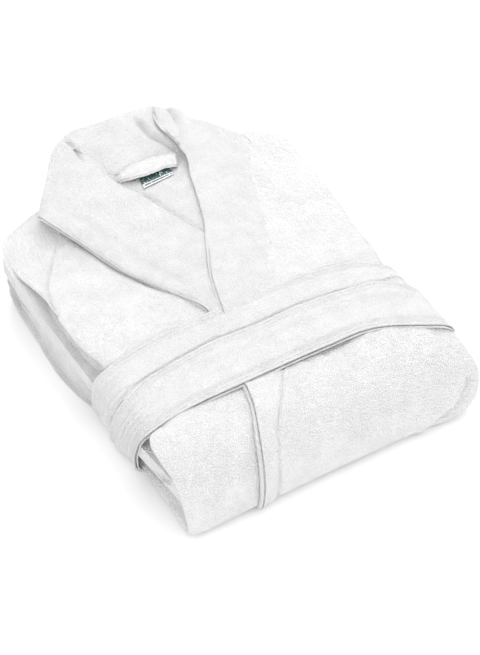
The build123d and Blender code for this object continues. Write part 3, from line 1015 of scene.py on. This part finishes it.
LOOP_CENTRE = [  # points along the middle of the loop, from the wearer's right
    (-16, 231, 89), (-13, 229.5, 92), (-6, 227, 95.5), (6, 225.5, 98), (22, 225, 99), (38, 224, 99.5),
    (48, 222, 99.5), (54, 220.5, 99), (57.5, 219.5, 98),
]
LOOP_WIDTHS = [8, 13, 20, 25, 26, 25, 23, 21.5, 20.5]  # at stations a step apart
LOOP_STEP = 9
LOOP_HALF_THICKNESS = 2.4
LOOP_RIBS = 8


def signed_power(value, power):
    """A power of a value's size, with the sign of the value."""
    return np.sign(value) * np.abs(value) ** power


def make_loop():
    """Ribbed hanging loop, arched between its two sewn ends, dipping at the wearer's right."""
    spine = along(LOOP_CENTRE, 70)
    widths = along([(width, LOOP_STEP * i) for i, width in enumerate(LOOP_WIDTHS)], 70)[:, 0]
    around = np.linspace(0, 2 * math.pi, 44, endpoint=False)
    leans = 0.5 * smoothstep(30, 58, spine[:, 0]) - 0.1
    up = signed_power(np.sin(around), 0.8) * LOOP_HALF_THICKNESS
    rings = []
    for point, width, lean in zip(spine, widths, leans):
        across = signed_power(np.cos(around), 0.7) * width / 2
        rings.append(np.stack([point[0] + lean * across, point[1] + across, point[2] + up], -1))
    rings = np.array(rings)
    ribs = 0.9 * np.cos(around * LOOP_RIBS) + 0.9 * noise(rings, 3.0, 71) + 0.5 * noise(rings, 7, 72)
    normal = grid_normals(rings, closed=True)
    if ((rings - spine[:, None]) * normal).sum(-1).mean() < 0:
        normal = -normal
    rings = rings + normal * ribs[..., None]
    first, last = rings[:1] * 0.45 + spine[0] * 0.55, rings[-1:] * 0.9 + spine[-1] * 0.1
    grid = np.concatenate([first, rings, last])
    index = np.arange(grid.shape[0] * grid.shape[1]).reshape(grid.shape[:2])
    faces = quads(np.concatenate([index, index[:, :1]], axis=1)).tolist()
    faces += [index[0, ::-1].tolist(), index[-1].tolist()]
    piece = make_object("hanging_loop_strip", grid.reshape(-1, 3), faces)
    finish_piece(piece, None, loop_terry, ("hanging_loop",))
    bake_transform(piece)
    return piece


LABEL_SHARES = np.linspace(0, 1, 5)  # of the label's width, where it has a row of control points


def label_row(share, places, raised=0.0):
    """Points down the label at a share of its width; places run from 0 at the sewn edge to 1."""
    width = LABEL_HIGH[0] - LABEL_LOW[0] - 3
    top = np.array([LABEL_LOW[0] + 2 + width * share, LABEL_HIGH[1] - 4 * share, 92.6 + 3.6 * share])
    foot = top + [-5.5 + 2 * share, LABEL_LOW[1] - LABEL_HIGH[1] - 5 + 5 * share, 0.3]
    return [top + (foot - top) * t + [0, 0, 1.2 * t * (1 - t) + raised] for t in places]


def make_label():
    """Woven label with a folded lower edge, sewn along the edge nearer the collar."""
    grid = net_surface([label_row(share, (0, 0.4, 0.75, 1)) for share in LABEL_SHARES], 0.6)
    piece = cloth("label_woven", grid, 0.5, 0.05 * noise(grid, 1.2, 81))
    finish_piece(piece, None, woven, ("brand_label",))
    bands = []
    for name, places in (("label_hem", (0.92, 0.96, 1.0)), ("label_line", (0.74, 0.77, 0.80))):
        strip = net_surface([label_row(share, places, 0.4) for share in LABEL_SHARES], 0.5)
        bands.append(finish_piece(cloth(name, strip, 0.5), None, satin))
    for part in [piece, *bands]:
        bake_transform(part)
    return piece, bands


# ---- everything together

right_front = make_right_front()
left_front = make_left_front()
skirt_fold = make_fold(
    "skirt_fold", [(-194, -100, 2.4), (-100, -20, 5), (-20, 212, 1.8)],
    [SKIRT_LEFT, FOLDS_RIGHT, SKIRT_LOW, shifted(CREASE_Z, -0.8)], recess=19, seed=91, plies=(8,),
)
side_folds = make_fold(
    "side_folds", [(-170, -100, 2.4), (-100, -20, 5), (-20, 203, 1.8)],
    [SIDES_LEFT, shifted(FOLDS_RIGHT, -2), shifted(CREASE_Z, -0.6), SIDES_HIGH],
    recess=17, seed=92, replaces=("back_panel",),
)
make_sash()
right_collar = make_right_collar()
left_collar = make_left_collar()
neck_facing = make_neck()
loop = make_loop()
label, label_bands = make_label()

# Cloth for the CAD pieces that nothing replaces, which are hidden in the pack
hidden = {"care_label": satin}
for part in ("sleeve", "cuff", "pocket", "sash_loop"):
    hidden[f"right_{part}"] = hidden[f"left_{part}"] = velour
for node, material in hidden.items():
    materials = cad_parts[node].data.materials
    materials.clear()
    materials.append(material)
